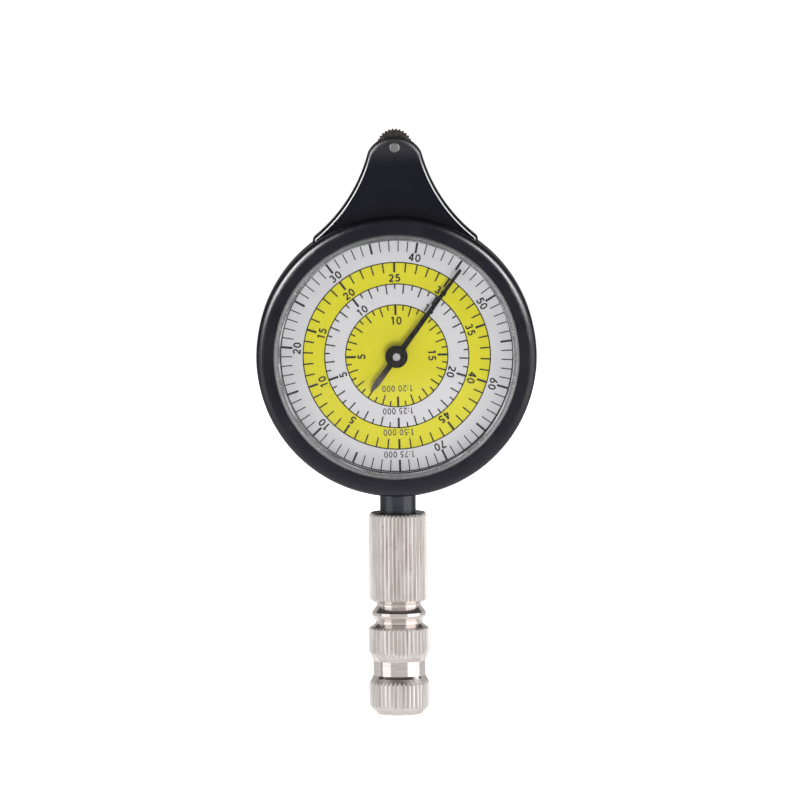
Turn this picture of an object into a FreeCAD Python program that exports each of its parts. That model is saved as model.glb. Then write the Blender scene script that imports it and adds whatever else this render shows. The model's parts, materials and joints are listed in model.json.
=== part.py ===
import FreeCAD, Part
import math
import os
import types

import Sketcher

# Map measurer (opisometer): a toothed wheel is rolled along a line on a map, and a 50:1 gear
# train turns one pointer over a dial on each side.  Frame: +Z up, the dial faces -Y, the origin
# is the centre of the flat end of the handle.  Lengths are in millimetres.

DIMENSIONS = [
    # case
    ("dial_height", 63.15, "height of the pointer axis above the handle end"),
    ("case_radius", 24.5, "outside of the round case"),
    ("case_bore", 22.9, "inside of the round case, around the movement"),
    ("bezel_face", 6.6, "crest of the bezel from the parting plane"),
    ("bezel_crest", 21.9, "outer edge of the flat crest"),
    ("bezel_crown", 8.0, "radius of the gently convex face outside the crest"),
    ("bezel_brow", 23.2, "where the face turns into the rounded edge"),
    ("bezel_brow_face", 6.49, "height of the brow from the parting plane"),
    ("bezel_round", 1.55, "radius of the rounded edge"),
    ("bezel_shoulder", 4.96, "where the side wall turns into the rounded edge"),
    ("window_radius", 21.5, "opening inside the bezel"),
    ("seam", 0.15, "bevel along the parting line"),
    ("web_inner", 1.8, "inner face of the movement plate"),
    ("web_outer", 2.4, "dial side of the movement plate"),
    # neck
    ("wheel_height", 36.5, "tracing-wheel axis above the pointer axis"),
    ("neck_face", 3.0, "outer face of the neck plates"),
    ("neck_top_radius", 5.3, "round end of the neck"),
    ("neck_shoulder_x", 4.67, "where the round end meets the flank"),
    ("neck_shoulder_y", 35.5, "where the round end meets the flank"),
    ("neck_flank_radius", 27.8, "hollow flank of the neck"),
    ("neck_foot_x", 14.45, "half width of the neck at the case"),
    ("neck_foot_y", 20.68, "foot of the flank above the pointer axis"),
    ("neck_root_radius", 23.5, "how far the neck runs into the case wall"),
    ("neck_foot_round", 1.0, "rounding of the foot corner"),
    ("neck_shoulder_round", 2.0, "rounding of the shoulder corner"),
    ("neck_edge_round", 0.9, "rounded outer edge of the neck"),
    # hollows of the neck
    ("first_height", 29.5, "first gear arbor above the pointer axis"),
    ("second_height", 17.5, "second gear arbor above the pointer axis"),
    ("first_hollow", 5.55, "room for the first gear"),
    ("second_hollow", 10.55, "room for the second gear"),
    ("wheel_hollow", 3.45, "room for the tracing wheel"),
    ("mouth_x", 6.37, "half width of the wedge mouth at its far end"),
    ("mouth_y", 4.84, "rise of the wedge mouth at its far end"),
    # pins and bearings
    ("axle_radius", 0.86, "wheel axle"),
    ("axle_reach", 3.12, "half length of the wheel axle"),
    ("axle_play", 0.04, "radial clearance of the wheel on its axle"),
    ("arbor_radius", 0.5, "fixed gear arbors"),
    ("arbor_reach", 2.3, "half length of the gear arbors"),
    ("arbor_play", 0.05, "radial clearance of gears and of the centre arbor"),
    ("bush_radius", 1.5, "centre bush in the movement plate"),
    ("bush_flange", 2.4, "flange of the centre bush"),
    ("bush_flange_thick", 0.25, "flange of the centre bush"),
    ("dowel_radius", 0.6, "locating pins between the case halves"),
    ("dowel_reach", 1.5, "depth of a locating pin in each half"),
    ("pillar_radius", 1.7, "pillars that hold the locating pins"),
    ("pillar_circle", 19.6, "distance of the pillars from the pointer axis"),
    # dial and crystal
    ("dial_radius", 21.3, "dial disc"),
    ("dial_face", 2.7, "printed face of the dial"),
    ("dial_hole", 1.75, "hole of the dial around the bush"),
    ("crystal_radius", 21.45, "clear window"),
    ("crystal_face", 6.2, "outer face of the window"),
    ("crystal_under", 5.3, "underside of the window"),
    ("skirt_radius", 20.4, "inside of the window skirt"),
    ("crystal_bevel", 0.3, "bevel of the window edge"),
    # pointer
    ("hub_radius", 1.95, "pointer hub"),
    ("hub_under", 3.5, "underside of the pointer hub"),
    ("hub_face", 5.0, "face of the pointer hub"),
    ("hub_bevel", 0.4, "bevel of the pointer hub"),
    ("arm_under", 4.2, "underside of the pointer arm"),
    ("arm_thick", 0.3, "thickness of the pointer arm"),
    ("arm_length", 19.0, "hub to tip"),
    ("arm_root", 0.53, "half width of the arm at the hub"),
    ("arm_tip", 0.26, "half width of the arm at the tip"),
    ("tail_length", 7.75, "hub to tail end"),
    ("tail_waist", 0.5, "half width of the tail near the hub"),
    ("tail_belly", 0.54, "half width of the tail at its widest"),
    ("tail_belly_at", 5.3, "distance of the widest place from the hub"),
    ("tail_leaf_radius", 4.6, "bulging sides of the tail end"),
    # centre arbor
    ("centre_radius", 0.65, "pivots of the centre arbor"),
    ("centre_reach", 5.1, "half length of the centre arbor"),
    ("centre_body", 1.6, "thick middle of the centre arbor"),
    ("centre_seat", 1.1, "seat of the centre gear"),
    ("centre_shoulder", 1.45, "end of the thick middle"),
    # tracing wheel
    ("wheel_radius", 3.183, "tip radius, 20 mm around"),
    ("wheel_teeth", 30, "teeth of the tracing wheel"),
    ("wheel_tooth_depth", 0.3, "depth of the V teeth"),
    ("wheel_half", 0.7, "half thickness of the tracing wheel"),
    ("wheel_rim_half", 0.45, "half thickness at the rim"),
    ("wheel_bevel_from", 2.45, "where the bevel towards the rim starts"),
    ("wheel_seat", 1.35, "sleeve the wheel is pressed on"),
    # gears
    ("fine_module", 0.4, "first two gear pairs"),
    ("last_module", 0.35, "last gear pair"),
    ("small_teeth", 10, "wheel pinion and first pinion"),
    ("first_teeth", 25, "first gear"),
    ("second_teeth", 50, "second gear"),
    ("third_teeth", 20, "second pinion"),
    ("centre_teeth", 80, "centre gear"),
    ("profile_shift", 0.45, "shift of the ten-tooth pinions, taken back on their gears"),
    ("tooth_thinning", 0.045, "thinning of every tooth for backlash"),
    ("end_play", 1.7, "half length of every gear cluster between the plates"),
    ("upper_level", 1.5, "rear face of the first and centre gears"),
    ("wheel_level", 0.9, "front face of the first gear"),
    ("centre_level", 0.85, "front face of the centre gear"),
    ("second_half", 0.35, "half thickness of the second gear"),
    ("first_pinion_front", 0.45, "front end of the first pinion teeth"),
    ("first_sleeve", 1.2, "plain sleeve of the first pinion"),
    ("second_sleeve", 1.8, "plain sleeve of the second pinion"),
    # stem
    ("stem_radius", 3.14, "black post between handle and case"),
    ("stem_socket", 23.8, "bottom of the socket in the case wall, from the pointer axis"),
    ("stem_tenon", 1.7, "tenon through the case wall"),
    ("stem_flange_x", 3.0, "half width of the flange inside the case"),
    ("stem_flange_y", 1.75, "half depth of the flange inside the case"),
    ("stem_flange_lift", 0.25, "flange above the lowest point of the case bore"),
    ("stem_flange_thick", 1.5, "flange inside the case"),
    ("stem_shank", 2.5, "shank inside the handle"),
    ("stem_shoulder", 33.4, "height where the shank starts"),
    ("stem_end", 26.3, "lower end of the shank"),
    # handle
    ("grip_radius", 5.19, "long knurl of the handle"),
    ("collar_radius", 5.4, "knurled collar"),
    ("foot_radius", 5.33, "knurled foot"),
    ("knurl_count", 44, "straight grooves around the handle"),
    ("knurl_depth", 0.36, "depth of a groove"),
    ("knurl_half", 0.34, "half width of a groove at the surface"),
    ("split_height", 19.4, "joint between the two turned pieces"),
    ("grip_top", 35.5, "top of the handle"),
    ("grip_top_radius", 4.72, "top face of the handle"),
    ("long_knurl_from", 20.35, "lower edge of the long knurl"),
    ("long_knurl_to", 34.95, "upper edge of the long knurl"),
    ("split_radius", 3.9, "handle radius at the joint"),
    ("end_radius", 4.0, "flat end of the handle"),
    ("foot_from", 1.55, "lower edge of the foot knurl"),
    ("foot_to", 5.38, "upper edge of the foot knurl"),
    ("waist_from", 6.85, "lower edge of the smooth waist"),
    ("waist_to", 9.4, "upper edge of the smooth waist"),
    ("waist_radius", 4.56, "smooth waist"),
    ("waist_cove", 5.0, "radius of the hollow above the waist"),
    ("collar_from", 11.1, "lower edge of the knurled collar"),
    ("collar_to", 15.0, "upper edge of the knurled collar"),
    ("neck_from", 16.0, "lower edge of the plain neck"),
    ("neck_to", 16.45, "upper edge of the plain neck"),
    ("neck_radius", 4.08, "plain neck of the handle"),
    ("ridge_from", 17.45, "lower edge of the ridge crest"),
    ("ridge_to", 17.95, "upper edge of the ridge crest"),
    ("ridge_radius", 4.72, "ridge crest"),
    ("throat_from", 19.05, "lower edge of the plain throat"),
]

POINTER_REST = 36.85  # degrees clockwise of straight up, between 45 and 46 km on the outer band
PRESSURE = math.radians(20)
PILLAR_ANGLES = {"upper_right": 14, "upper_left": 166, "lower_left": 214, "lower_right": -34}
Z_AXIS = FreeCAD.Vector(0, 0, 1)
UPRIGHT = FreeCAD.Rotation()
FRONT = FreeCAD.Rotation(FreeCAD.Vector(1, 0, 0), 90)
REAR = FreeCAD.Rotation(Z_AXIS, 180) * FRONT


class Size:
    """A length that knows its value now and the spreadsheet expression that gives it."""

    def __init__(self, value, text):
        self.value = float(value)
        self.text = text

    def __add__(self, other):
        other = as_size(other)
        return Size(self.value + other.value, f"({self.text} + {other.text})")

    def __sub__(self, other):
        other = as_size(other)
        return Size(self.value - other.value, f"({self.text} - {other.text})")

    def __mul__(self, other):
        other = as_size(other)
        return Size(self.value * other.value, f"({self.text} * {other.text})")

    def __neg__(self):
        return Size(-self.value, f"(-1 * {self.text})")


def as_size(thing):
    """A plain number as a Size."""
    return thing if isinstance(thing, Size) else Size(thing, f"{thing:.10g}")


doc = FreeCAD.newDocument("MapMeasurer")
sheet = doc.addObject("Spreadsheet::Sheet", "Sizes")
for row, (alias, number, note) in enumerate(DIMENSIONS, 1):
    sheet.set(f"A{row}", note)
    sheet.set(f"B{row}", f"{number}")
    sheet.setAlias(f"B{row}", alias)
doc.recompute()
d = types.SimpleNamespace(**{alias: Size(number, f"Sizes.{alias}") for alias, number, _ in DIMENSIONS})


def new_body(label, turn=UPRIGHT, height=None, spin=0):
    """A body whose own origin stands at a height on the Z axis; spin turns it about its own axis."""
    body = doc.addObject("PartDesign::Body", label)
    body.Label = label
    body.Placement = FreeCAD.Placement(FreeCAD.Vector(), turn * FreeCAD.Rotation(Z_AXIS, spin))
    if height is not None:
        body.setExpression(".Placement.Base.z", height.text)
    return body


def new_sketch(body, role, name, lift=None):
    """A sketch on an origin plane of its body, lifted along the plane's normal."""
    sketch = body.newObject("Sketcher::SketchObject", f"{body.Name}_{name}")
    plane = next(f for f in body.Origin.OriginFeatures if f.Role == role)
    sketch.AttachmentSupport = (plane, [""])
    sketch.MapMode = "FlatFace"
    if lift is not None:
        sketch.setExpression(".AttachmentOffset.Base.z", lift.text)
    return sketch


def bind(sketch, kind, elements, size):
    """Add a dimension to a sketch and bind it to its expression."""
    size = as_size(size)
    index = sketch.addConstraint(Sketcher.Constraint(kind, *elements, size.value))
    sketch.setExpression(f"Constraints[{index}]", size.text)


def place_point(sketch, geometry, position, x, y):
    """Fix a sketch point by its distances from the origin."""
    for kind, axis, size in (("DistanceX", -2, as_size(x)), ("DistanceY", -1, as_size(y))):
        if size.value == 0:
            sketch.addConstraint(Sketcher.Constraint("PointOnObject", geometry, position, axis))
        else:
            bind(sketch, kind, (-1, 1, geometry, position), size)


def circle(sketch, radius, x=0, y=0):
    """A circle with bound radius and centre."""
    centre = FreeCAD.Vector(as_size(x).value, as_size(y).value, 0)
    index = sketch.addGeometry(Part.Circle(centre, Z_AXIS, radius.value))
    bind(sketch, "Radius", (index,), radius)
    if centre.Length == 0:
        sketch.addConstraint(Sketcher.Constraint("Coincident", index, 3, -1, 1))
    else:
        place_point(sketch, index, 3, x, y)
    return sketch


def arc_between(start, end, radius, side):
    """The short arc from start to end; side +1 has its centre on the left of the way."""
    chord = end - start
    middle = (start + end) * 0.5
    left = FreeCAD.Vector(-chord.y, chord.x, 0).normalize()
    reach = math.sqrt(radius**2 - (chord.Length / 2) ** 2)
    centre = middle + left * (side * reach)
    through = centre - left * (side * radius)
    return Part.Arc(start, through, end)


def outline(sketch, corners, arcs=None):
    """A closed outline through corners; arcs maps a corner's index to (radius, side) of its edge."""
    arcs = arcs or {}
    points = [FreeCAD.Vector(as_size(x).value, as_size(y).value, 0) for x, y in corners]
    ends = []
    for i, start in enumerate(points):
        end = points[(i + 1) % len(points)]
        if i in arcs:
            radius, side = arcs[i]
            index = sketch.addGeometry(arc_between(start, end, radius.value, side))
            at_start = min((1, 2), key=lambda p: (sketch.getPoint(index, p) - start).Length)
            bind(sketch, "Radius", (index,), radius)
        else:
            index = sketch.addGeometry(Part.LineSegment(start, end))
            at_start = 1
        ends.append((index, at_start, 3 - at_start))
    for i, (index, at_start, at_end) in enumerate(ends):
        following = ends[(i + 1) % len(ends)]
        sketch.addConstraint(Sketcher.Constraint("Coincident", index, at_end, *following[:2]))
        place_point(sketch, index, at_start, *corners[i])
    return sketch


def extrude(body, kind, sketch, length=None, both_ways=False, upward=False):
    """A Pad or Pocket of a sketch; a length of None cuts through everything."""
    feature = body.newObject(f"PartDesign::{kind}", f"{body.Name}_{kind}")
    feature.Profile = sketch
    if length is None:
        feature.Type = "ThroughAll"
    else:
        feature.Length = length.value
        feature.setExpression("Length", length.text)
    feature.SideType = "Symmetric" if both_ways else "One side"
    feature.Reversed = upward
    return feature


def revolve(body, sketch):
    """Turn a profile of the XZ plane about the body's own axis."""
    feature = body.newObject("PartDesign::Revolution", f"{body.Name}_Revolution")
    feature.Profile = sketch
    feature.ReferenceAxis = (sketch, ["V_Axis"])
    feature.Angle = 360
    return feature


def turned(body, stations, arcs=None, name="profile"):
    """A turned piece from (radius, height) stations."""
    sketch = outline(new_sketch(body, "XZ_Plane", name), stations, arcs)
    return revolve(body, sketch)


def cut_around(body, sketch, count):
    """Cut one gap right through the body and repeat it around the axis."""
    gap = extrude(body, "Pocket", sketch, both_ways=True)
    pattern = body.newObject("PartDesign::PolarPattern", f"{body.Name}_PolarPattern")
    pattern.Originals = [gap]
    pattern.Axis = (sketch, ["N_Axis"])
    pattern.Angle = 360
    pattern.Occurrences = int(count.value)
    pattern.setExpression("Occurrences", count.text)
    body.Tip = pattern
    return pattern


def v_groove(body, radius, depth, half_width, count):
    """Straight V grooves around a turned piece; each groove is drawn past the surface."""
    over = 1.6
    sketch = new_sketch(body, "XY_Plane", "groove")
    outline(
        sketch,
        [
            (0, radius - depth),
            (half_width * over, radius + depth * (over - 1)),
            (-(half_width * over), radius + depth * (over - 1)),
        ],
    )
    return cut_around(body, sketch, count)


def dress(body, kind, base, edges, size):
    """Round or bevel chosen edges of the feature before it."""
    feature = body.newObject(f"PartDesign::{kind}", f"{body.Name}_{kind}")
    feature.Base = (base, edges)
    name = "Radius" if kind == "Fillet" else "Size"
    setattr(feature, name, size.value)
    feature.setExpression(name, size.text)
    doc.recompute()
    return feature


def edges_where(feature, test):
    """Names of the edges whose middle point passes a test."""
    names = []
    for number, edge in enumerate(feature.Shape.Edges, 1):
        middle = edge.valueAt((edge.FirstParameter + edge.LastParameter) / 2)
        if test(middle):
            names.append(f"Edge{number}")
    return names


def case_half(label, turn):
    """One half of the case: ring with bezel, movement plate, neck plate and hollows."""
    body = new_body(label, turn, d.dial_height)
    root_x = d.neck_foot_x.value
    root_y = math.sqrt(d.neck_root_radius.value**2 - root_x**2)
    sketch = outline(
        new_sketch(body, "XY_Plane", "neck"),
        [
            (-d.neck_shoulder_x, d.neck_shoulder_y),
            (-d.neck_foot_x, d.neck_foot_y),
            (-d.neck_foot_x, root_y),
            (d.neck_foot_x, root_y),
            (d.neck_foot_x, d.neck_foot_y),
            (d.neck_shoulder_x, d.neck_shoulder_y),
        ],
        {
            0: (d.neck_flank_radius, -1),
            2: (d.neck_root_radius, -1),
            4: (d.neck_flank_radius, -1),
            5: (d.neck_top_radius, 1),
        },
    )
    neck = extrude(body, "Pad", sketch, d.neck_face)
    doc.recompute()
    middle = d.neck_face.value / 2
    feet = edges_where(neck, lambda p: abs(p.z - middle) < 0.1 and abs(p.y - d.neck_foot_y.value) < 0.1)
    neck = dress(body, "Fillet", neck, feet, d.neck_foot_round)
    shoulders = edges_where(
        neck, lambda p: abs(p.z - middle) < 0.1 and abs(p.y - d.neck_shoulder_y.value) < 0.1
    )
    neck = dress(body, "Fillet", neck, shoulders, d.neck_shoulder_round)
    above_case = d.neck_root_radius.value + 0.01
    rim = edges_where(
        neck, lambda p: abs(p.z - d.neck_face.value) < 0.01 and math.hypot(p.x, p.y) > above_case
    )
    neck = dress(body, "Fillet", neck, rim, d.neck_edge_round)
    seam = edges_where(neck, lambda p: abs(p.z) < 0.01 and math.hypot(p.x, p.y) > above_case)
    dress(body, "Chamfer", neck, seam, d.seam)

    turned(
        body,
        [
            (0, d.web_inner),
            (d.case_bore, d.web_inner),
            (d.case_bore, 0),
            (d.case_radius - d.seam, 0),
            (d.case_radius, d.seam),
            (d.case_radius, d.bezel_shoulder),
            (d.bezel_brow, d.bezel_brow_face),
            (d.bezel_crest, d.bezel_face),
            (d.window_radius, d.bezel_face),
            (d.window_radius, d.web_outer),
            (0, d.web_outer),
        ],
        {5: (d.bezel_round, 1), 6: (d.bezel_crown, 1)},
        "ring",
    )
    for height, radius, name in (
        (d.second_height, d.second_hollow, "second_hollow"),
        (d.first_height, d.first_hollow, "first_hollow"),
        (d.wheel_height, d.wheel_hollow, "wheel_hollow"),
    ):
        extrude(body, "Pocket", circle(new_sketch(body, "XY_Plane", name), radius, 0, height),
                d.web_inner, upward=True)
    mouth = outline(
        new_sketch(body, "XY_Plane", "mouth"),
        [
            (0, d.wheel_height),
            (d.mouth_x, d.wheel_height + d.mouth_y),
            (-d.mouth_x, d.wheel_height + d.mouth_y),
        ],
    )
    extrude(body, "Pocket", mouth, d.web_inner, upward=True)

    pillars = new_sketch(body, "XY_Plane", "pillars")
    holes = new_sketch(body, "XY_Plane", "dowel_holes")
    for angle in PILLAR_ANGLES.values():
        x = d.pillar_circle * math.cos(math.radians(angle))
        y = d.pillar_circle * math.sin(math.radians(angle))
        circle(pillars, d.pillar_radius, x, y)
        circle(holes, d.dowel_radius, x, y)
    extrude(body, "Pad", pillars, d.web_outer)
    extrude(body, "Pocket", holes, d.dowel_reach, upward=True)

    extrude(body, "Pocket", circle(new_sketch(body, "XY_Plane", "bush_hole"), d.bush_radius), upward=True)
    arbors = new_sketch(body, "XY_Plane", "arbor_holes")
    circle(arbors, d.arbor_radius, 0, d.first_height)
    circle(arbors, d.arbor_radius, 0, d.second_height)
    extrude(body, "Pocket", arbors, d.arbor_reach, upward=True)
    axle = circle(new_sketch(body, "XY_Plane", "axle_hole"), d.axle_radius, 0, d.wheel_height)
    extrude(body, "Pocket", axle, upward=True)

    socket = circle(new_sketch(body, "XZ_Plane", "stem_socket", d.stem_socket), d.stem_radius)
    extrude(body, "Pocket", socket, d.stem_radius, upward=True)
    tenon = circle(new_sketch(body, "XZ_Plane", "stem_tenon", d.stem_socket - 1.5), d.stem_tenon)
    extrude(body, "Pocket", tenon, d.stem_radius, upward=True)
    return body


def disc(label, turn, height, radius, bore, under, face):
    """A plain flat ring between two levels."""
    body = new_body(label, turn, height)
    turned(body, [(bore, under), (radius, under), (radius, face), (bore, face)])
    return body


def crystal(label, turn):
    """A clear window with a skirt that stands on the dial."""
    body = new_body(label, turn, d.dial_height)
    turned(
        body,
        [
            (0, d.crystal_under),
            (d.skirt_radius, d.crystal_under),
            (d.skirt_radius, d.dial_face),
            (d.crystal_radius, d.dial_face),
            (d.crystal_radius, d.crystal_face - d.crystal_bevel),
            (d.crystal_radius - d.crystal_bevel, d.crystal_face),
            (0, d.crystal_face),
        ],
    )
    return body


def bush(label, turn):
    """A flanged bush for the centre arbor."""
    body = new_body(label, turn, d.dial_height)
    bore = d.centre_radius + d.arbor_play
    flange_face = d.web_inner - d.bush_flange_thick
    turned(
        body,
        [
            (bore, flange_face),
            (d.bush_flange, flange_face),
            (d.bush_flange, d.web_inner),
            (d.bush_radius, d.web_inner),
            (d.bush_radius, d.web_outer),
            (bore, d.web_outer),
        ],
    )
    return body


def pointer(label, turn, spin):
    """A pointer with a tapered arm, a leaf-shaped tail and a round hub."""
    body = new_body(label, turn, d.dial_height, spin)
    arm = outline(
        new_sketch(body, "XY_Plane", "arm", d.arm_under),
        [
            (-d.arm_tip, d.arm_length - d.arm_tip),
            (-d.arm_root, 0),
            (-d.tail_waist, -d.hub_radius),
            (-d.tail_belly, -d.tail_belly_at),
            (0, -d.tail_length),
            (d.tail_belly, -d.tail_belly_at),
            (d.tail_waist, -d.hub_radius),
            (d.arm_root, 0),
            (d.arm_tip, d.arm_length - d.arm_tip),
            (0, d.arm_length),
        ],
        {3: (d.tail_leaf_radius, 1), 4: (d.tail_leaf_radius, 1)},
    )
    extrude(body, "Pad", arm, d.arm_thick)
    turned(
        body,
        [
            (0, d.hub_under),
            (d.hub_radius, d.hub_under),
            (d.hub_radius, d.hub_face - d.hub_bevel),
            (d.hub_radius - d.hub_bevel, d.hub_face),
            (0, d.hub_face),
        ],
        name="hub",
    )
    bore = circle(new_sketch(body, "XY_Plane", "bore"), d.centre_radius)
    extrude(body, "Pocket", bore, both_ways=True)
    return body


def tooth_gap(sketch, teeth, module, shift, thinning, addendum, steps):
    """Draw the gap between two involute teeth, centred on +Y, with steps arcs along each flank."""
    base = module * teeth / 2 * math.cos(PRESSURE)
    root = module * (teeth / 2 - 1.25 + shift)
    tip = module * (teeth / 2 + addendum + shift) + 0.04
    half_tooth = (math.pi / 2 + 2 * shift * math.tan(PRESSURE)) / teeth - thinning / (module * teeth)
    start = max(base, root)

    def flank(radius):
        roll = math.acos(base / radius)
        tooth = half_tooth + math.tan(PRESSURE) - PRESSURE - (math.tan(roll) - roll)
        angle = math.pi / teeth - tooth
        return FreeCAD.Vector(radius * math.sin(angle), radius * math.cos(angle), 0)

    radii = [start + (tip - start) * (i / (2 * steps)) ** 1.5 for i in range(2 * steps + 1)]
    right = [flank(radius) for radius in radii]
    left = [FreeCAD.Vector(-p.x, p.y, 0) for p in right]
    angle = math.atan2(right[0].x, right[0].y)
    foot = FreeCAD.Vector(root * math.sin(angle), root * math.cos(angle), 0)
    mirrored = FreeCAD.Vector(-foot.x, foot.y, 0)
    edges = [Part.Arc(mirrored, FreeCAD.Vector(0, root, 0), foot)]
    if base > root:
        edges.append(Part.LineSegment(foot, right[0]))
    edges += [Part.Arc(*right[i : i + 3]) for i in range(0, 2 * steps, 2)]
    edges.append(Part.Arc(right[-1], FreeCAD.Vector(0, tip, 0), left[-1]))
    edges += [Part.Arc(*left[i : i + 3]) for i in range(0, 2 * steps, 2)]
    if base > root:
        edges.append(Part.LineSegment(left[0], mirrored))
    sketch.addGeometry(edges)


def toothed(body, stations, teeth, module, shift, steps, addendum=1.0):
    """A turned blank with involute teeth cut around it."""
    turned(body, stations)
    sketch = new_sketch(body, "XY_Plane", "gap")
    tooth_gap(sketch, int(teeth.value), module.value, shift, d.tooth_thinning.value, addendum, steps)
    cut_around(body, sketch, teeth)
    return body


def gear(label, height, teeth, module, shift, seat, front, rear):
    """A flat gear pressed on a sleeve, between two levels measured towards the rear."""
    body = new_body(label, FRONT, height)
    tip = module * (teeth * 0.5 + 1 + shift)
    return toothed(body, [(seat, -rear), (tip, -rear), (tip, -front), (seat, -front)],
                   teeth, module, shift.value, 1)


# case halves, windows, dials and pointers; the rear ones face the other way
for side, turn, sign in (("front", FRONT, -1), ("rear", REAR, 1)):
    case_half(f"case_{side}", turn)
    disc(f"dial_{side}", turn, d.dial_height, d.dial_radius, d.dial_hole, d.web_outer, d.dial_face)
    crystal(f"crystal_{side}", turn)
    bush(f"bush_{side}", turn)
    pointer(f"pointer_{side}", turn, sign * POINTER_REST)

# tracing wheel with its pinion on the fixed axle
wheel_height = d.dial_height + d.wheel_height
wheel = new_body("tracing_wheel", FRONT, wheel_height)
turned(
    wheel,
    [
        (d.wheel_seat, -d.wheel_half),
        (d.wheel_bevel_from, -d.wheel_half),
        (d.wheel_radius, -d.wheel_rim_half),
        (d.wheel_radius, d.wheel_rim_half),
        (d.wheel_bevel_from, d.wheel_half),
        (d.wheel_seat, d.wheel_half),
    ],
)
tooth_half = d.wheel_radius * (0.93 * math.pi / d.wheel_teeth.value)
v_groove(wheel, d.wheel_radius, d.wheel_tooth_depth, tooth_half, d.wheel_teeth)

pinion_addendum = 0.85
pinion_tip = d.fine_module * (d.small_teeth * 0.5 + pinion_addendum + d.profile_shift)
half_pitch = 180 / d.small_teeth.value
wheel_pinion = new_body("wheel_pinion", FRONT, wheel_height, half_pitch)
toothed(
    wheel_pinion,
    [
        (d.axle_radius + d.axle_play, -d.end_play),
        (pinion_tip, -d.end_play),
        (pinion_tip, -d.wheel_half),
        (d.wheel_seat, -d.wheel_half),
        (d.wheel_seat, d.end_play),
        (d.axle_radius + d.axle_play, d.end_play),
    ],
    d.small_teeth,
    d.fine_module,
    d.profile_shift.value,
    2,
    pinion_addendum,
)
axle = new_body("wheel_axle", FRONT, wheel_height)
axle_bevel = 0.12
turned(
    axle,
    [
        (0, -d.axle_reach),
        (d.axle_radius - axle_bevel, -d.axle_reach),
        (d.axle_radius, -d.axle_reach + axle_bevel),
        (d.axle_radius, d.axle_reach - axle_bevel),
        (d.axle_radius - axle_bevel, d.axle_reach),
        (0, d.axle_reach),
    ],
)

# first cluster: 25-tooth gear and ten-tooth pinion
first_height = d.dial_height + d.first_height
gear("first_gear", first_height, d.first_teeth, d.fine_module, -d.profile_shift,
     d.first_sleeve, d.wheel_level, d.upper_level)
first_pinion = new_body("first_pinion", FRONT, first_height, half_pitch)
arbor_bore = d.arbor_radius + d.arbor_play
toothed(
    first_pinion,
    [
        (arbor_bore, -d.end_play),
        (d.first_sleeve, -d.end_play),
        (d.first_sleeve, -d.wheel_level),
        (pinion_tip, -d.wheel_level),
        (pinion_tip, d.first_pinion_front),
        (d.first_sleeve, d.first_pinion_front),
        (d.first_sleeve, d.end_play),
        (arbor_bore, d.end_play),
    ],
    d.small_teeth,
    d.fine_module,
    d.profile_shift.value,
    2,
    pinion_addendum,
)

# second cluster: 50-tooth gear and 20-tooth pinion
second_height = d.dial_height + d.second_height
gear("second_gear", second_height, d.second_teeth, d.fine_module, -d.profile_shift,
     d.second_sleeve, -d.second_half, d.second_half)
second_pinion = new_body("second_pinion", FRONT, second_height, 180 / d.third_teeth.value)
third_tip = d.last_module * (d.third_teeth * 0.5 + 1)
toothed(
    second_pinion,
    [
        (arbor_bore, -d.end_play),
        (d.second_sleeve, -d.end_play),
        (d.second_sleeve, -d.upper_level),
        (third_tip, -d.upper_level),
        (third_tip, -d.second_half),
        (d.second_sleeve, -d.second_half),
        (d.second_sleeve, d.end_play),
        (arbor_bore, d.end_play),
    ],
    d.third_teeth,
    d.last_module,
    0.0,
    2,
)
for label, height in (("first_arbor", first_height), ("second_arbor", second_height)):
    pin = new_body(label, FRONT, height)
    turned(pin, [(0, -d.arbor_reach), (d.arbor_radius, -d.arbor_reach),
                 (d.arbor_radius, d.arbor_reach), (0, d.arbor_reach)])

# centre arbor with the 80-tooth gear
gear("centre_gear", d.dial_height, d.centre_teeth, d.last_module, as_size(0),
     d.centre_seat, d.centre_level, d.centre_shoulder)
centre_arbor = new_body("centre_arbor", FRONT, d.dial_height)
turned(
    centre_arbor,
    [
        (0, -d.centre_reach),
        (d.centre_radius, -d.centre_reach),
        (d.centre_radius, -d.centre_shoulder),
        (d.centre_seat, -d.centre_shoulder),
        (d.centre_seat, -d.centre_level),
        (d.centre_body, -d.centre_level),
        (d.centre_body, d.centre_shoulder),
        (d.centre_radius, d.centre_shoulder),
        (d.centre_radius, d.centre_reach),
        (0, d.centre_reach),
    ],
)

# locating pins between the case halves
for place, angle in PILLAR_ANGLES.items():
    dowel = doc.addObject("Part::Cylinder", f"dowel_{place}")
    dowel.Label = f"dowel_{place}"
    dowel.Placement = FreeCAD.Placement(FreeCAD.Vector(), FRONT)
    x = d.pillar_circle * math.cos(math.radians(angle))
    z = d.dial_height + d.pillar_circle * math.sin(math.radians(angle))
    dowel.setExpression("Radius", d.dowel_radius.text)
    dowel.setExpression("Height", (d.dowel_reach * 2).text)
    dowel.setExpression(".Placement.Base.x", x.text)
    dowel.setExpression(".Placement.Base.y", d.dowel_reach.text)
    dowel.setExpression(".Placement.Base.z", z.text)

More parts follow.
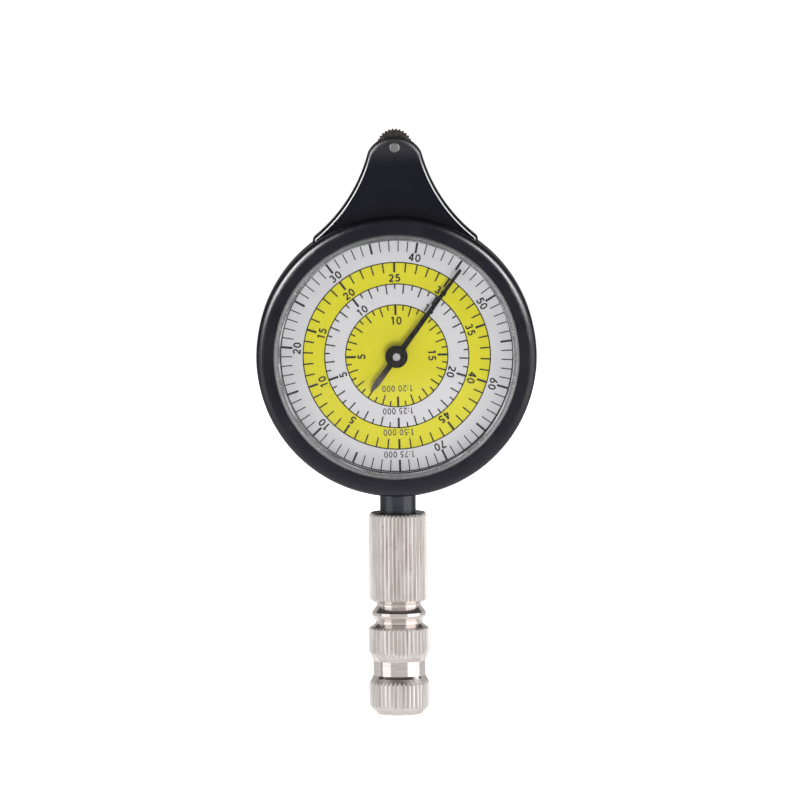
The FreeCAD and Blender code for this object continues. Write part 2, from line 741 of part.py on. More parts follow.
# stem: post, tenon through the case wall, flatted flange inside, shank in the handle
stem = new_body("stem")
stem_top = d.dial_height - d.stem_socket
flange_from = d.dial_height - d.case_bore + d.stem_flange_lift
turned(
    stem,
    [
        (0, d.stem_end),
        (d.stem_shank, d.stem_end),
        (d.stem_shank, d.stem_shoulder),
        (d.stem_radius, d.stem_shoulder),
        (d.stem_radius, stem_top),
        (d.stem_tenon, stem_top),
        (d.stem_tenon, flange_from + d.stem_flange_thick),
        (0, flange_from + d.stem_flange_thick),
    ],
)
flange = outline(
    new_sketch(stem, "XY_Plane", "flange", flange_from),
    [
        (-d.stem_flange_x, -d.stem_flange_y),
        (d.stem_flange_x, -d.stem_flange_y),
        (d.stem_flange_x, d.stem_flange_y),
        (-d.stem_flange_x, d.stem_flange_y),
    ],
)
extrude(stem, "Pad", flange, d.stem_flange_thick)

# handle: upper sleeve and lower tail, both straight-knurled
sleeve = new_body("grip_sleeve", UPRIGHT, d.split_height)
sleeve_top = d.grip_top - d.split_height
turned(
    sleeve,
    [
        (d.stem_shank, 0),
        (d.split_radius, 0),
        (d.grip_radius, d.long_knurl_from - d.split_height),
        (d.grip_radius, d.long_knurl_to - d.split_height),
        (d.grip_top_radius, sleeve_top),
        (d.stem_radius, sleeve_top),
        (d.stem_radius, d.stem_shoulder - d.split_height),
        (d.stem_shank, d.stem_shoulder - d.split_height),
    ],
)
v_groove(sleeve, d.grip_radius, d.knurl_depth, d.knurl_half, d.knurl_count)

tail = new_body("grip_tail")
turned(
    tail,
    [
        (0, 0),
        (d.end_radius, 0),
        (d.foot_radius, d.foot_from),
        (d.foot_radius, d.foot_to),
        (d.waist_radius, d.waist_from),
        (d.waist_radius, d.waist_to),
        (d.collar_radius, d.collar_from),
        (d.collar_radius, d.collar_to),
        (d.neck_radius, d.neck_from),
        (d.neck_radius, d.neck_to),
        (d.ridge_radius, d.ridge_from),
        (d.ridge_radius, d.ridge_to),
        (d.split_radius, d.throat_from),
        (d.split_radius, d.split_height),
        (d.stem_shank, d.split_height),
        (d.stem_shank, d.stem_end),
        (0, d.stem_end),
    ],
    {5: (d.waist_cove, -1)},
)
v_groove(tail, d.collar_radius, d.knurl_depth, d.knurl_half, d.knurl_count)

doc.recompute()
os.makedirs("parts", exist_ok=True)
for piece in doc.Objects:
    if "Invalid" in piece.State or "Error" in piece.State:
        raise SystemExit(f"{piece.Name}: {piece.State}")
for piece in doc.Objects:
    if piece.TypeId not in ("PartDesign::Body", "Part::Cylinder"):
        continue
    if piece.Shape.isNull() or not piece.Shape.isValid() or len(piece.Shape.Solids) != 1:
        raise SystemExit(f"{piece.Label}: the shape is not one sound solid")
    piece.Shape.exportStep(f"parts/{piece.Label}.step")
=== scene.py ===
"""Looks of a map measurer: a black case with two printed dials, a neck that holds the tracing wheel,
and a nickel-plated handle.  Everything is in metres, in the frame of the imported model."""

import json
import math
from collections import namedtuple

import bmesh
import bpy
from mathutils import Matrix, Vector


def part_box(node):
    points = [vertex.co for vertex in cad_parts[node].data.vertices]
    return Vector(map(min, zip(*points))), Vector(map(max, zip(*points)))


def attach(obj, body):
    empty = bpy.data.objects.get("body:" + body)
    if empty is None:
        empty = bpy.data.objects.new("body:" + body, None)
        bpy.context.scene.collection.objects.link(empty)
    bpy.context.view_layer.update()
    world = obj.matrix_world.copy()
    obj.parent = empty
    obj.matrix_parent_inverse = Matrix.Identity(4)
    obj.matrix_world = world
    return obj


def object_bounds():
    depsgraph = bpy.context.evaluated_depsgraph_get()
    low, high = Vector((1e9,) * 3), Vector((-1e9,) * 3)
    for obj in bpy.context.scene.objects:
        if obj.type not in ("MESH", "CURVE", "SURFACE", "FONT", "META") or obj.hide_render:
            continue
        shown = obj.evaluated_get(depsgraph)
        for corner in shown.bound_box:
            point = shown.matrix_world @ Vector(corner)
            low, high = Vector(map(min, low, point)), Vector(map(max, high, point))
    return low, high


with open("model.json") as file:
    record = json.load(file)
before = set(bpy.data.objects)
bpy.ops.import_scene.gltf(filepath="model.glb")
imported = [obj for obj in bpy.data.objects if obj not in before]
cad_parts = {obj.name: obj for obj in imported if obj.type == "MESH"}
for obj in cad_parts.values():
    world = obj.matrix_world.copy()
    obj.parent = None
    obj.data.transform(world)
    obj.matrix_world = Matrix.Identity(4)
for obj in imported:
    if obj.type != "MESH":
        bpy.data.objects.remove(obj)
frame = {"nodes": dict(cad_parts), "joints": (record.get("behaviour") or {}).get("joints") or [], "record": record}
cad_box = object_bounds()

MM = 0.001
DIAL_AXIS = Vector(next(j for j in frame["joints"] if j["name"] == "pointer_spin")["pos_m"])


# ---------------------------------------------------------------- materials

SKIRT_THICK = 1.05 * MM
KNURL_FLOOR = 4.80 * MM  # radius just inside the bottom of the grooves
SHEEN_FROM, SHEEN_TO = 2.4 * MM, 4.8 * MM  # where a pointer's tail turns from black to the grey of a painted sheen


class Look:
    """A material in the making: one Principled shader and the nodes that feed it."""

    def __init__(self, name, **uniform):
        self.material = bpy.data.materials.new(name)
        self.material.use_nodes = True
        self.tree = self.material.node_tree
        self.shader = self.tree.nodes["Principled BSDF"]
        for socket, value in uniform.items():
            self.shader.inputs[socket.replace("_", " ")].default_value = value
        self.place = self.node("ShaderNodeTexCoord").outputs["Object"]

    def node(self, kind, inputs=None, **settings):
        """A node with some sockets linked or set."""
        made = self.tree.nodes.new(kind)
        for key, value in settings.items():
            setattr(made, key, value)
        for key, value in (inputs or {}).items():
            self.feed(made.inputs[key], value)
        return made

    def feed(self, socket, value):
        if isinstance(value, bpy.types.NodeSocket):
            self.tree.links.new(value, socket)
        else:
            socket.default_value = value

    def drive(self, **sockets):
        """Links nodes to the shader's sockets."""
        for name, value in sockets.items():
            self.feed(self.shader.inputs[name.replace("_", " ")], value)

    def stretched(self, x, y, z):
        """Object coordinates, scaled along each axis."""
        return self.node("ShaderNodeVectorMath", {0: self.place, 1: (x, y, z)},
                         operation="MULTIPLY").outputs["Vector"]

    def noise(self, size, detail=3.0, where=None):
        """Soft noise from 0 to 1 whose largest features are about size across."""
        made = self.node("ShaderNodeTexNoise", {"Vector": where or self.place, "Scale": 1 / size,
                                                "Detail": detail})
        return made.outputs["Fac"]

    def sum(self, a, b):
        return self.node("ShaderNodeMath", {0: a, 1: b}, operation="ADD").outputs[0]

    def times(self, a, b):
        return self.node("ShaderNodeMath", {0: a, 1: b}, operation="MULTIPLY").outputs[0]

    def span(self, value, low, high, to_low=0.0, to_high=1.0):
        """Maps low..high to to_low..to_high and holds the ends."""
        made = self.node("ShaderNodeMapRange", {"Value": value, "From Min": low, "From Max": high,
                                                "To Min": to_low, "To Max": to_high})
        return made.outputs["Result"]

    def mix(self, share, first, second):
        """A colour between first and second."""
        made = self.node("ShaderNodeMix", data_type="RGBA")
        self.feed(made.inputs["Factor"], share)
        colours = [s for s in made.inputs if s.type == "RGBA"]
        for socket, colour in zip(colours, (first, second)):
            self.feed(socket, colour if isinstance(colour, bpy.types.NodeSocket) else (*colour, 1))
        return next(s for s in made.outputs if s.type == "RGBA")

    def between(self, share, first, second):
        """A number between first and second."""
        made = self.node("ShaderNodeMix", {"Factor": share, 2: first, 3: second}, data_type="FLOAT")
        return made.outputs[0]

    def specks(self, spacing, size, share):
        """1 inside small scattered spots, 0 elsewhere.  share of the cells hold a spot."""
        cells = self.node("ShaderNodeTexVoronoi", {"Vector": self.place, "Scale": 1 / spacing})
        lot = self.node("ShaderNodeSeparateColor", {"Color": cells.outputs["Color"]}).outputs[0]
        spot = self.span(cells.outputs["Distance"], size / spacing, 0.6 * size / spacing)
        return self.times(spot, self.span(lot, 1 - share, 1 - share + 0.01))

    def height(self):
        """Height above the foot of the handle."""
        return self.node("ShaderNodeSeparateXYZ", {"Vector": self.place}).outputs["Z"]

    def around_z(self):
        """Distance from the Z axis."""
        flat = self.stretched(1, 1, 0)
        return self.node("ShaderNodeVectorMath", {0: flat}, operation="LENGTH").outputs["Value"]

    def around_dial(self):
        """Distance from the axis of the dials."""
        moved = self.node("ShaderNodeVectorMath", {0: self.place, 1: DIAL_AXIS}, operation="SUBTRACT")
        flat = self.node("ShaderNodeVectorMath", {0: moved.outputs["Vector"], 1: (1, 0, 1)},
                         operation="MULTIPLY")
        return self.node("ShaderNodeVectorMath", {0: flat.outputs["Vector"]},
                         operation="LENGTH").outputs["Value"]

    def relief(self, height, depth, strength=1.0, under=None):
        """A bump from a height of 0 to 1 that stands for depth metres."""
        inputs = {"Height": height, "Distance": depth, "Strength": strength}
        if under is not None:
            inputs["Normal"] = under
        return self.node("ShaderNodeBump", inputs).outputs["Normal"]


def case_material(edge, axle):
    """Moulded black plastic with specks of dust: a satin ring out to its edge, and a polished neck that
    is dulled by the thumb around the wheel's axle."""
    look = Look("moulded_black", IOR=1.5)
    reach = look.around_dial()
    cloud = look.noise(6 * MM, 4)
    grain = look.noise(0.12 * MM, 2)
    dust = look.specks(2.6 * MM, 0.11 * MM, 0.35)
    tone = look.mix(cloud, (0.0020, 0.0019, 0.0050), (0.0048, 0.0046, 0.0095))
    dull = look.times(dust, 0.3)
    thumbed = look.span(look.height(), axle - 2.6 * MM, axle + 0.4 * MM, 0.0, 0.32)
    satin = look.sum(look.span(cloud, 0.35, 0.65, 0.25, 0.32), dull)
    polished = look.sum(look.span(cloud, 0.35, 0.65, 0.10, 0.15), look.sum(thumbed, dull))
    neck = look.span(reach, edge - 0.15 * MM, edge + 0.10 * MM)
    look.drive(
        Base_Color=look.mix(dust, tone, (0.16, 0.155, 0.15)),
        Roughness=look.between(neck, satin, polished),
        Normal=look.relief(grain, 0.003 * MM, 0.3),
    )
    return look.material


def stem_material():
    """Black enamel on a turned post."""
    look = Look("stem_enamel", IOR=1.6)
    rings = look.noise(0.25 * MM, 2, look.stretched(0.1, 0.1, 1))
    dust = look.specks(1.4 * MM, 0.13 * MM, 0.5)
    tone = look.mix(look.noise(3 * MM), (0.011, 0.011, 0.018), (0.020, 0.020, 0.030))
    look.drive(
        Base_Color=look.mix(dust, tone, (0.13, 0.12, 0.12)),
        Roughness=look.span(rings, 0.3, 0.7, 0.22, 0.32),
        Normal=look.relief(rings, 0.006 * MM, 0.5),
    )
    return look.material


def window_material(skirt_inside, skirt_outside):
    """Clear moulded plastic whose skirt, inside the bezel, is frosted grey with light flecks, a painted highlight
    along its inner lip, painted light towards its outer edge and painted shade at the top and bottom."""
    look = Look("window_plastic", IOR=1.3, Roughness=0.02)
    look.shader.inputs["Transmission Weight"].default_value = 1.0
    reach = look.around_dial()
    frost = look.node("ShaderNodeBsdfPrincipled", {"Roughness": 0.42, "IOR": 1.45})
    cloud = look.noise(0.35 * MM, 4)
    fleck = look.specks(0.5 * MM, 0.12 * MM, 0.5)
    grey = look.mix(look.span(cloud, 0.3, 0.7), (0.055, 0.055, 0.057), (0.155, 0.155, 0.158))
    grey = look.mix(fleck, grey, (0.50, 0.50, 0.50))
    # painted light: edge makes the skirt's grey paler towards its outer edge, where the bezel shades it
    edge = look.span(reach, skirt_inside + 0.40 * MM, skirt_outside, 0.0, 0.8)
    # painted highlight: a pale line along the skirt's inner lip, brighter in patches
    painted_lip_highlight = look.span(reach, skirt_inside + 0.20 * MM, skirt_inside + 0.14 * MM)
    lip_highlight_patches = look.span(look.noise(5 * MM, 2), 0.42, 0.60)
    grey = look.mix(edge, grey, (0.36, 0.36, 0.365))
    grey = look.mix(painted_lip_highlight, grey, look.mix(lip_highlight_patches, (0.10, 0.10, 0.104), (0.44, 0.44, 0.46)))
    # painted shade: the skirt is darkened towards its top and bottom
    above = look.sum(look.height(), -DIAL_AXIS.z)
    away = look.node("ShaderNodeMath", {0: above}, operation="ABSOLUTE").outputs[0]
    painted_shade_top_bottom = look.span(away, 0.68 * skirt_outside, skirt_outside, 0.0, 0.55)
    look.feed(frost.inputs["Base Color"], look.mix(painted_shade_top_bottom, grey, (0.03, 0.03, 0.031)))
    look.feed(frost.inputs["Normal"], look.relief(cloud, 0.03 * MM, 0.6))
    skirt = look.span(reach, skirt_inside, skirt_inside + 0.02 * MM)
    whole = look.node("ShaderNodeMixShader", {0: skirt, 1: look.shader.outputs[0], 2: frost.outputs[0]})
    lit = look.node("ShaderNodeMixShader", {
        0: look.node("ShaderNodeLightPath").outputs["Is Shadow Ray"],
        1: whole.outputs[0],
        2: look.node("ShaderNodeBsdfTransparent").outputs[0],
    })
    look.feed(look.tree.nodes["Material Output"].inputs["Surface"], lit.outputs[0])
    return look.material


def print_material(name, pale, deep, roughness):
    """A coat of printing ink, slightly uneven."""
    look = Look(name, IOR=1.45)
    cloud = look.noise(7 * MM, 3)
    grain = look.noise(0.1 * MM, 2)
    even = look.sum(look.times(cloud, 0.75), look.times(grain, 0.25))
    look.drive(
        Base_Color=look.mix(look.span(even, 0.3, 0.7), pale, deep),
        Roughness=look.span(grain, 0.3, 0.7, roughness - 0.05, roughness + 0.05),
        Normal=look.relief(grain, 0.002 * MM, 0.3),
    )
    return look.material


def pointer_material(node):
    """Blackened metal whose tail is a dark satin grey, a painted sheen for the light it reflects."""
    look = Look(f"blackened_{node}", IOR=1.5, Specular_IOR_Level=0.22)
    low, high = (corner - DIAL_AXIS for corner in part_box(node))
    tip = Vector((max(low.x, high.x, key=abs), 0, max(low.z, high.z, key=abs))).normalized()
    moved = look.node("ShaderNodeVectorMath", {0: look.place, 1: DIAL_AXIS}, operation="SUBTRACT")
    along = look.node("ShaderNodeVectorMath", {0: moved.outputs["Vector"], 1: tip},
                      operation="DOT_PRODUCT")
    tail = look.span(along.outputs["Value"], -SHEEN_FROM, -SHEEN_TO)
    cloud = look.noise(1.2 * MM, 3)
    brush = look.noise(0.2 * MM, 2)
    black = look.mix(cloud, (0.0015, 0.0012, 0.0012), (0.0050, 0.0042, 0.0040))
    # painted sheen: the tail's grey stands for light that it reflects
    painted_sheen = look.mix(cloud, (0.055, 0.046, 0.046), (0.085, 0.074, 0.072))
    look.drive(
        Base_Color=look.mix(tail, black, painted_sheen),
        Roughness=look.span(brush, 0.3, 0.7, 0.26, 0.34),
        Normal=look.relief(brush, 0.001 * MM, 0.3),
    )
    return look.material


def nickel_material(knurl_from, top):
    """Nickel plate: fine turning lines on the smooth parts, streaks, dirt and pits on the knurl, and
    a top face coloured near-black."""
    look = Look("nickel_plate", Metallic=1.0)
    reach = look.around_z()
    lines = look.noise(0.16 * MM, 3, look.stretched(0.06, 0.06, 1))
    streaks = look.noise(0.26 * MM, 4, look.stretched(1, 1, 0.04))
    cloud = look.noise(3 * MM, 4)
    pits = look.specks(1.3 * MM, 0.11 * MM, 0.4)
    knurled = look.span(reach, knurl_from, knurl_from + 0.02 * MM)
    smooth_tone = look.mix(look.span(lines, 0.35, 0.65), (0.745, 0.68, 0.64), (0.89, 0.83, 0.795))
    knurl_tone = look.mix(look.span(streaks, 0.35, 0.65), (0.72, 0.655, 0.61), (1.0, 0.97, 0.95))
    tone = look.mix(knurled, smooth_tone, knurl_tone)
    tone = look.mix(look.span(cloud, 0.5, 0.8, 0.0, 0.25), tone, (0.70, 0.62, 0.56))
    tone = look.mix(look.times(pits, knurled), tone, (0.09, 0.07, 0.06))
    # The top face is coloured near-black.
    tone = look.mix(look.span(look.height(), top - 0.10 * MM, top - 0.04 * MM), tone, (0.02, 0.02, 0.023))
    smooth_rough = look.span(cloud, 0.35, 0.65, 0.10, 0.17)
    knurl_rough = look.span(streaks, 0.3, 0.7, 0.34, 0.46)
    waves = look.relief(look.noise(0.3 * MM), 0.004 * MM, 0.4)
    look.drive(
        Base_Color=tone,
        Roughness=look.between(knurled, smooth_rough, knurl_rough),
        Normal=look.relief(lines, 0.004 * MM, 0.45, waves),
    )
    return look.material


def metal_material(name, pale, deep, roughness, metallic=1.0, patch=1.2 * MM):
    """Plain machined metal with small changes of tone and gloss."""
    look = Look(name, Metallic=metallic)
    cloud = look.noise(patch, 4)
    grain = look.noise(0.08 * MM, 2)
    look.drive(
        Base_Color=look.mix(look.span(cloud, 0.3, 0.7), pale, deep),
        Roughness=look.span(cloud, 0.3, 0.7, roughness - 0.06, roughness + 0.08),
        Normal=look.relief(grain, 0.003 * MM, 0.4),
    )
    return look.material


def dress_cad_nodes():
    """Gives each CAD node the material of its slot in the record."""
    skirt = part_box("crystal_front")[1].x
    materials = {
        "case_black": case_material(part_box("case_front")[1].x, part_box("wheel_axle")[0].z),
        "stem_black": stem_material(),
        "window_clear": window_material(skirt - SKIRT_THICK, skirt),
        "dial_print": print_material("dial_enamel", (0.62, 0.61, 0.64), (0.56, 0.55, 0.58), 0.4),
        "nickel": nickel_material(KNURL_FLOOR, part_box("grip_sleeve")[1].z),
        "brass": metal_material("brass", (0.80, 0.60, 0.27), (0.62, 0.43, 0.17), 0.30),
        "steel": metal_material("steel", (0.74, 0.73, 0.73), (0.60, 0.59, 0.60), 0.36),
        "wheel_dark": metal_material("blackened_steel", (0.16, 0.13, 0.115), (0.065, 0.055, 0.052),
                                     0.45, 0.7, 0.5 * MM),
    }
    for part in frame["record"]["subparts"]:
        node = frame["nodes"][part["node"]]
        node.data.materials.clear()
        if part["material_slot"] == "pointer_black":
            node.data.materials.append(pointer_material(part["node"]))
        else:
            node.data.materials.append(materials[part["material_slot"]])


# ---------------------------------------------------------------- dial print

# turn_km whole kilometres in one turn, a number every numbered of them, parts marks in each.  full, part
# and bold are lengths of marks, thin is the width of a plain one, all in millimetres.
Scale = namedtuple("Scale", "turn_km numbered parts outer inner full part bold thin "
                            "number_radius number_height caption_radius caption")
SCALES = [
    Scale(75, 10, 1, 20.40, 16.37, 2.10, 2.10, 2.14, 0.19, 17.50, 1.40, 17.30, "1:75 000"),
    Scale(50, 5, 1, 16.37, 12.60, 1.72, 1.72, 1.74, 0.245, 13.65, 1.38, 13.42, "1:50 000"),
    Scale(25, 5, 2, 12.60, 8.94, 1.70, 0.88, 1.72, 0.245, 9.93, 1.36, 9.70, "1:25 000"),
    Scale(20, 5, 2, 8.94, 1.75, 1.74, 0.95, 1.80, 0.245, 6.17, 1.40, 5.74, "1:20 000"),
]
BOLD_EVERY, BOLD_MARK, CIRCLE_LINE = 5, 0.38, 0.20
FRONT_TURN = -1.15  # degrees, the front print sits slightly askew
FRONT_SHIFT = (0.05, 0.05)  # millimetres across and up, and a little off centre
PAINT_THICK, INK_THICK = 0.02, 0.02
CAPTION_HEIGHT, CAPTION_NARROW = 1.16, 0.85
NUMBER_STROKE, CAPTION_STROKE = 0.19, 0.155  # widths of the lines of a letter 1 high


def arc(x, y, across, up, start, end, steps=12):
    """Points on an elliptic arc, angles in degrees anticlockwise from the right."""
    angles = [math.radians(start + (end - start) * i / steps) for i in range(steps + 1)]
    return [(x + across * math.cos(a), y + up * math.sin(a)) for a in angles]


# Centrelines of the digits in a box DIGIT_WIDTH wide and 1 high.
DIGITS = {
    "0": [arc(0.33, 0.50, 0.245, 0.415, 0, 360, 24)],
    "1": [[(0.42, 0.0), (0.42, 1.0)], [(0.42, 0.93), (0.19, 0.78)]],
    "2": [arc(0.32, 0.67, 0.225, 0.245, 168, -38) + [(0.10, 0.09)], [(0.04, 0.085), (0.61, 0.085)]],
    "3": [arc(0.30, 0.705, 0.185, 0.21, 155, -90), arc(0.30, 0.29, 0.235, 0.205, 90, -155)],
    "4": [[(0.46, 0.97), (0.07, 0.29)], [(0.02, 0.29), (0.64, 0.29)], [(0.46, 1.0), (0.46, 0.0)]],
    "5": [[(0.16, 0.915), (0.57, 0.915)], [(0.215, 0.915), (0.155, 0.55)],
          arc(0.31, 0.335, 0.25, 0.25, 132, -155)],
    "6": [arc(0.33, 0.325, 0.24, 0.24, 0, 360, 24), [(0.13, 0.42), (0.27, 0.70), (0.47, 0.99)]],
    "7": [[(0.05, 0.915), (0.60, 0.915)], [(0.555, 0.90), (0.23, 0.0)]],
    ":": [[(0.17, 0.04), (0.17, 0.22)], [(0.17, 0.48), (0.17, 0.66)]],
    " ": [],
}
DIGIT_WIDTH, DIGIT_STEP = 0.66, 0.81
STEP_OF = {":": 0.38, " ": 0.42}
MITRE_LIMIT = 2


class Sheet:
    """Thin raised strips on one dial: flat lines with a width, laid between two heights."""

    def __init__(self, side, low):
        self.mesh = bmesh.new()
        self.side = side
        self.low = low

    def point(self, across, up, height):
        """A point on the dial, across and up as its reader sees it, in millimetres."""
        if self.side == "front":
            return DIAL_AXIS + Vector((across + FRONT_SHIFT[0], -height, up + FRONT_SHIFT[1])) * MM
        return DIAL_AXIS + Vector((-across, height, up)) * MM

    def strip(self, line, width, thick, closed=False):
        """A closed slab along a line, with corners mitred to at most twice the width."""
        count = len(line)
        rails = []
        for i, (x, y) in enumerate(line):
            before = line[i - 1] if i or closed else (x, y)
            after = line[(i + 1) % count] if i < count - 1 or closed else (x, y)
            coming = Vector((x - before[0], y - before[1]))
            going = Vector((after[0] - x, after[1] - y))
            ways = [way.normalized() for way in (coming, going) if way.length > 1e-9]
            along = sum(ways, Vector((0, 0))).normalized()
            reach = width / 2 / max(1 / MITRE_LIMIT, along.dot(ways[0]))
            out = Vector((-along.y, along.x)) * reach
            corners = [(1, 0), (1, thick), (-1, thick), (-1, 0)]
            rails.append([
                self.mesh.verts.new(self.point(x + way * out.x, y + way * out.y, self.low + rise))
                for way, rise in corners
            ])
        for i in range(count if closed else count - 1):
            here, there = rails[i], rails[(i + 1) % count]
            for j in range(4):
                k = (j + 1) % 4
                self.mesh.faces.new((here[j], here[k], there[k], there[j]))
        if not closed:
            self.mesh.faces.new(rails[0])
            self.mesh.faces.new(reversed(rails[-1]))

    def circle(self, radius, width, thick, steps=180):
        points = arc(0, 0, radius, radius, 0, 360, steps)[:-1]
        self.strip(points, width, thick, closed=True)

    def mark(self, angle, outer, inner, width):
        """A radial line; the angle is in degrees clockwise from the top."""
        a = math.radians(angle)
        ends = [(r * math.sin(a), r * math.cos(a)) for r in (outer, inner)]
        self.strip(ends, width, INK_THICK)

    def words(self, text, angle, radius, height, stroke, narrow=1.0):
        """Straight lettering whose tops point outwards, centred at an angle and a radius."""
        steps = [STEP_OF.get(letter, DIGIT_STEP) * narrow for letter in text]
        gap = (DIGIT_STEP - DIGIT_WIDTH) * narrow
        start = -(sum(steps) - gap) / 2
        a = math.radians(angle)
        right, up = Vector((math.cos(a), -math.sin(a))), Vector((math.sin(a), math.cos(a)))
        for letter, step in zip(text, steps):
            for line in DIGITS[letter]:
                ring = math.dist(line[0], line[-1]) < 1e-6
                points = [
                    right * (start + x * narrow) * height + up * (radius + (y - 0.5) * height)
                    for x, y in (line[:-1] if ring else line)
                ]
                self.strip([tuple(p) for p in points], stroke * height, INK_THICK, closed=ring)
            start += step

    def finish(self, name, material):
        bmesh.ops.recalc_face_normals(self.mesh, faces=self.mesh.faces)
        data = bpy.data.meshes.new(name)
        self.mesh.to_mesh(data)
        self.mesh.free()
        data.materials.append(material)
        piece = bpy.data.objects.new(name, data)
        bpy.context.scene.collection.objects.link(piece)
        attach(piece, "case")


def print_dial(side, inks):
    """The printed face: bands of colour, circles, marks, numbers and captions."""
    low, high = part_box(f"dial_{side}")
    face = max(abs(low.y), abs(high.y)) / MM
    way, turn = (1, FRONT_TURN) if side == "front" else (-1, 0.0)
    bands = [Sheet(side, face), Sheet(side, face)]
    ink = Sheet(side, face + PAINT_THICK)
    captions = Sheet(side, face + PAINT_THICK)
    for i, scale in enumerate(SCALES):
        bands[i % 2].circle((scale.outer + scale.inner) / 2, scale.outer - scale.inner, PAINT_THICK)
        ink.circle(scale.outer - (CIRCLE_LINE / 2 if i == 0 else 0), CIRCLE_LINE, INK_THICK)
        steps = scale.turn_km * scale.parts
        for step in range(steps):
            angle = 180 + turn + way * 360 * step / steps
            whole, heavy = step % scale.parts == 0, step % (BOLD_EVERY * scale.parts) == 0
            length = scale.bold if heavy else scale.full if whole else scale.part
            ink.mark(angle, scale.outer, scale.outer - length, BOLD_MARK if heavy else scale.thin)
        for number in range(scale.numbered, scale.turn_km, scale.numbered):
            angle = 180 + turn + way * 360 * number / scale.turn_km
            ink.words(str(number), angle, scale.number_radius, scale.number_height, NUMBER_STROKE)
        captions.words(scale.caption, 180 + turn, scale.caption_radius, CAPTION_HEIGHT, CAPTION_STROKE,
                       CAPTION_NARROW)
    for sheet, colour in zip((*bands, ink, captions), ("white", "yellow", "ink", "caption")):
        sheet.finish(f"dial_{colour}_{side}", inks[colour])


# ---------------------------------------------------------------- studio

FLOOR_RADIUS = 4.0


def stage_floor():
    """A wide white table that glows, casts no shadow and isn't seen in reflections."""
    mesh = bmesh.new()
    bmesh.ops.create_circle(mesh, cap_ends=True, radius=FLOOR_RADIUS, segments=96)
    data = bpy.data.meshes.new("floor")
    mesh.to_mesh(data)
    mesh.free()
    look = Look("floor_paint", Roughness=0.9, Emission_Strength=1.0)
    look.shader.inputs["Emission Color"].default_value = (1, 1, 1, 1)
    look.drive(Base_Color=look.mix(look.noise(0.4, 2), (0.86, 0.86, 0.86), (0.88, 0.88, 0.88)))
    data.materials.append(look.material)
    floor = bpy.data.objects.new("floor", data)
    floor.location.z = cad_box[0].z
    floor.visible_glossy = False
    floor.visible_shadow = False
    bpy.context.scene.collection.objects.link(floor)


def hang_lamp(name, azimuth, elevation, distance, width, height, radiance, makes, only):
    """A rectangular light aimed at the dial; azimuth 0 is in front, 90 to the right."""
    a, e = math.radians(azimuth), math.radians(elevation)
    away = Vector((math.sin(a) * math.cos(e), -math.cos(a) * math.cos(e), math.sin(e)))
    data = bpy.data.lights.new(name, "AREA")
    data.shape = "RECTANGLE"
    data.size, data.size_y = width, height
    data.energy = radiance * math.pi * width * height
    lamp = bpy.data.objects.new(name, data)
    lamp.location = DIAL_AXIS + away * distance
    lamp.rotation_mode = "QUATERNION"
    lamp.rotation_quaternion = away.to_track_quat("Z", "Y")
    lamp.visible_camera = False
    lamp.visible_diffuse = makes == "shade"
    lamp.visible_glossy = lamp.visible_transmission = makes == "gloss"
    if only:
        receivers = bpy.data.collections.new(name)
        for node in only:
            receivers.objects.link(frame["nodes"][node])
        lamp.light_linking.receiver_collection = receivers
    bpy.context.scene.collection.objects.link(lamp)


NICKEL_NODES = ("grip_sleeve", "grip_tail")
CASE_NODES = ("case_front", "case_rear")
# azimuth, elevation, distance, width, height, radiance, whether it makes gloss or shade, and the only
# nodes that it lights, if not all
LAMPS = {
    "softbox_left": (-60, 5, 0.7, 0.56, 0.80, 1.0, "gloss", ()),
    "softbox_right": (68, 5, 0.7, 0.86, 0.80, 1.3, "gloss", ()),
    "fill_high": (-8, 10, 0.7, 0.50, 0.40, 3.7, "shade", ()),
    "fill_low": (8, -18, 0.15, 0.06, 0.05, 15, "shade", ()),
    "fill_back": (170, 16, 0.7, 0.50, 0.40, 4.2, "shade", ()),
    "wall_front": (0, -5, 0.7, 1.05, 0.80, 0.38, "gloss", NICKEL_NODES),
    "wall_left": (-134, -5, 0.7, 1.38, 0.80, 0.40, "gloss", NICKEL_NODES),
    "wall_right": (140, -5, 0.7, 1.17, 0.80, 0.40, "gloss", NICKEL_NODES),
    "glint_left": (-56, 30, 0.7, 0.30, 0.42, 26, "gloss", CASE_NODES),
    "glint_right": (56, 30, 0.7, 0.30, 0.42, 22, "gloss", CASE_NODES),
}
# The room's brightness against the rise of the direction: To Min from From Min up, To Max from From Max
# down, and smooth between.
ROOM = {"From Min": 0.25, "From Max": -0.80, "To Min": 0.07, "To Max": 0.80}


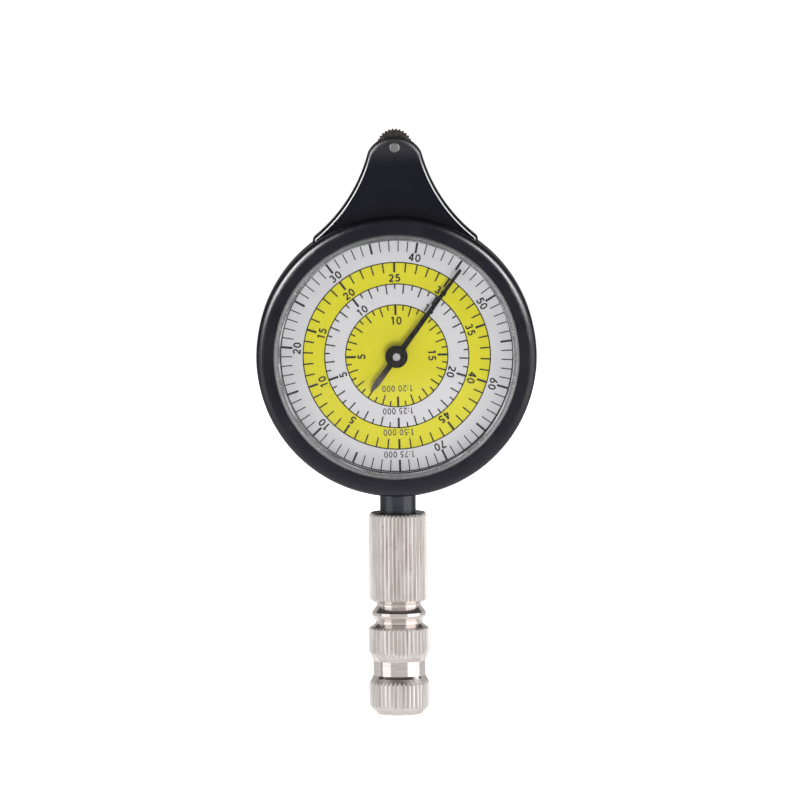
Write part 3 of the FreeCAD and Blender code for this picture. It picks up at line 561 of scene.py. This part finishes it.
def light_studio():
    """All lamps, in a room that is dim above and pale below, with a white backdrop for the camera."""
    for name, lamp in LAMPS.items():
        hang_lamp(name, *lamp)
    world = bpy.data.worlds.new("studio")
    world.use_nodes = True
    tree = world.node_tree

    def link(source, target):
        tree.links.new(source, target)

    split = tree.nodes.new("ShaderNodeSeparateXYZ")
    link(tree.nodes.new("ShaderNodeTexCoord").outputs["Generated"], split.inputs[0])
    walls = tree.nodes.new("ShaderNodeMapRange")
    walls.interpolation_type = "SMOOTHERSTEP"
    for socket, value in ROOM.items():
        walls.inputs[socket].default_value = value
    link(split.outputs["Z"], walls.inputs["Value"])
    room = tree.nodes["Background"]
    room.inputs["Color"].default_value = (1, 0.99, 0.985, 1)
    link(walls.outputs["Result"], room.inputs["Strength"])
    backdrop = tree.nodes.new("ShaderNodeBackground")
    backdrop.inputs["Color"].default_value = (1, 1, 1, 1)
    both = tree.nodes.new("ShaderNodeMixShader")
    link(tree.nodes.new("ShaderNodeLightPath").outputs["Is Camera Ray"], both.inputs[0])
    link(room.outputs[0], both.inputs[1])
    link(backdrop.outputs[0], both.inputs[2])
    link(both.outputs[0], tree.nodes["World Output"].inputs["Surface"])
    bpy.context.scene.world = world
    bpy.context.scene.view_settings.view_transform = "Standard"


def place_camera():
    """A long lens well in front of the dial, a little above it, looking slightly down."""
    eye = Vector((0, -1.600, 0.1900))
    aim = Vector((0.00054, 0, 0.05520))
    roll = -0.0097  # radians
    lens, sensor = 412.4, 36.0  # millimetres
    forward = (aim - eye).normalized()
    right = forward.cross(Vector((0, 0, 1))).normalized()
    up = right.cross(forward)
    side = math.cos(roll) * right + math.sin(roll) * up
    top = math.cos(roll) * up - math.sin(roll) * right
    data = bpy.data.cameras.new("camera")
    data.lens, data.sensor_width = lens, sensor
    data.clip_start, data.clip_end = 0.05, 20.0
    camera = bpy.data.objects.new("camera", data)
    turn = Matrix((side, top, -forward)).transposed()
    camera.matrix_world = Matrix.Translation(eye) @ turn.to_4x4()
    bpy.context.scene.collection.objects.link(camera)
    bpy.context.scene.camera = camera


dress_cad_nodes()
dial_inks = {
    "white": print_material("print_white", (0.74, 0.735, 0.765), (0.69, 0.685, 0.715), 0.42),
    "yellow": print_material("print_yellow", (0.78, 0.725, 0.020), (0.72, 0.665, 0.010), 0.42),
    "ink": print_material("print_ink", (0.007, 0.006, 0.006), (0.016, 0.014, 0.014), 0.45),
    "caption": print_material("print_caption", (0.055, 0.052, 0.047), (0.10, 0.095, 0.085), 0.5),
}
for dial_side in ("front", "rear"):
    print_dial(dial_side, dial_inks)
stage_floor()
light_studio()
place_camera()
